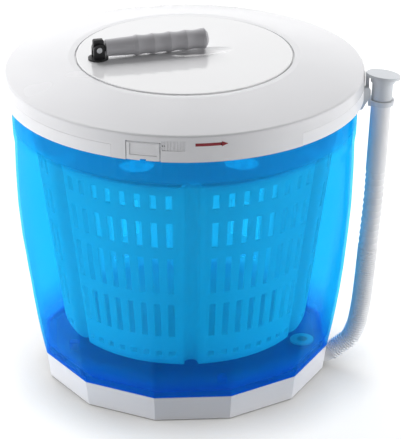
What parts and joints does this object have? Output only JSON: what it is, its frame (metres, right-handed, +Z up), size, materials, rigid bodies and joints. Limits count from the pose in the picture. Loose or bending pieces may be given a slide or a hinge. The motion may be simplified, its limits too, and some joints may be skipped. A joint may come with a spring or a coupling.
{
  "type": "manual washing machine",
  "caption": "Hand cranked washing machine: clear blue tub on a faceted base, slotted spinning basket, domed lid with a geared folding crank, and a ribbed drain hose clipped upright.",
  "frame": {"origin": "on the ground, under the basket's axis", "axes": "+Z up along the basket's spindle, -Y to the front where the first latch and the arrow are, +X towards the drain hose"},
  "size_m": [0.3888, 0.356, 0.3556],
  "materials": {
    "white_shell": "smooth gloss",
    "grey_shell": "smooth satin",
    "disc_white": "high gloss",
    "clear_blue": "clear tinted gloss",
    "basket_blue": "smooth satin",
    "hose_white": "soft ribbed",
    "gear_white": "moulded",
    "grip_grey": "smooth satin",
    "black_plastic": "satin",
    "steel": "bright",
    "rubber": "matt"
  },
  "bodies": {
    "tub_body": {"base_plinth": "grey_shell", "feet": "rubber", "base_screws": "steel", "tub": "clear_blue", "rim_ring": "grey_shell", "spindle": "steel", "spindle_washer": "rubber", "spindle_nut": "steel", "drain_elbow": "hose_white", "hose": "hose_white", "hose_neck": "hose_white", "hose_clip": "grey_shell", "clip_bracket": "grey_shell"},
    "cap_body": {"hose_cap": "grey_shell"},
    "lid_body": {"lid_shell": "white_shell", "gear_plate": "gear_white", "lid_screws": "steel", "planet_pins": "steel", "latch_pins": "steel"},
    "crank_body": {"crank_disc": "disc_white", "ring_gear": "gear_white", "gear_screws": "steel", "crank_bracket": "black_plastic", "bracket_screws": "steel", "fold_pin": "steel"},
    "handle_body": {"handle_shaft": "black_plastic", "grip_screw": "steel"},
    "grip_body": {"grip_sleeve": "grip_grey", "grip_end_cap": "grip_grey"},
    "planet_1": {"planet_gear_1": "gear_white"},
    "planet_2": {"planet_gear_2": "gear_white"},
    "planet_3": {"planet_gear_3": "gear_white"},
    "drive_body": {"sun_gear": "gear_white", "drive_plate": "gear_white", "drive_screw": "steel"},
    "basket_body": {"basket": "basket_blue", "basket_bush": "gear_white"},
    "front_latch_body": {"front_latch": "white_shell"},
    "rear_latch_body": {"rear_latch": "white_shell"}
  },
  "joints": [
    {"name": "lid_lift", "type": "slide", "parent": "tub_body", "child": "lid_body", "axis": [0, 0, 1], "range_m": [0, 0.15]},
    {"name": "crank_spin", "type": "hinge", "parent": "lid_body", "child": "crank_body", "pos_m": [0, 0, 0.3296], "axis": [0, 0, 1], "continuous": true},
    {"name": "handle_fold", "type": "hinge", "parent": "crank_body", "child": "handle_body", "pos_m": [-0.08501, -0.00999, 0.3453], "axis": [0.213, -0.977, 0], "range_deg": [0, 90]},
    {"name": "grip_spin", "type": "hinge", "parent": "handle_body", "child": "grip_body", "pos_m": [-0.08501, -0.00999, 0.3453], "axis": [0.977, 0.213, 0], "continuous": true},
    {"name": "planet_1_spin", "type": "hinge", "parent": "lid_body", "child": "planet_1", "pos_m": [0, 0.045, 0.321], "axis": [0, 0, 1], "continuous": true},
    {"name": "planet_2_spin", "type": "hinge", "parent": "lid_body", "child": "planet_2", "pos_m": [-0.03897, -0.0225, 0.321], "axis": [0, 0, 1], "continuous": true},
    {"name": "planet_3_spin", "type": "hinge", "parent": "lid_body", "child": "planet_3", "pos_m": [0.03897, -0.0225, 0.321], "axis": [0, 0, 1], "continuous": true},
    {"name": "drive_spin", "type": "hinge", "parent": "lid_body", "child": "drive_body", "pos_m": [0, 0, 0.304], "axis": [0, 0, 1], "continuous": true},
    {"name": "basket_spin", "type": "hinge", "parent": "tub_body", "child": "basket_body", "pos_m": [0, 0, 0.06], "axis": [0, 0, 1], "continuous": true},
    {"name": "front_latch_open", "type": "hinge", "parent": "lid_body", "child": "front_latch_body", "pos_m": [-0.04706, -0.16855, 0.3106], "axis": [-0.9632, 0.2689, 0], "range_deg": [0, 70]},
    {"name": "rear_latch_open", "type": "hinge", "parent": "lid_body", "child": "rear_latch_body", "pos_m": [0.04706, 0.16855, 0.3106], "axis": [0.9632, -0.2689, 0], "range_deg": [0, 70]},
    {"name": "hose_cap_pull", "type": "slide", "parent": "tub_body", "child": "cap_body", "axis": [0.0499, 0, 0.9988], "range_m": [0, 0.03]}
  ],
  "couplings": [
    {"joint": "planet_1_spin", "follows": "crank_spin", "ratio": 3},
    {"joint": "planet_2_spin", "follows": "crank_spin", "ratio": 3},
    {"joint": "planet_3_spin", "follows": "crank_spin", "ratio": 3},
    {"joint": "drive_spin", "follows": "crank_spin", "ratio": -3},
    {"joint": "basket_spin", "follows": "crank_spin", "ratio": -3}
  ]
}
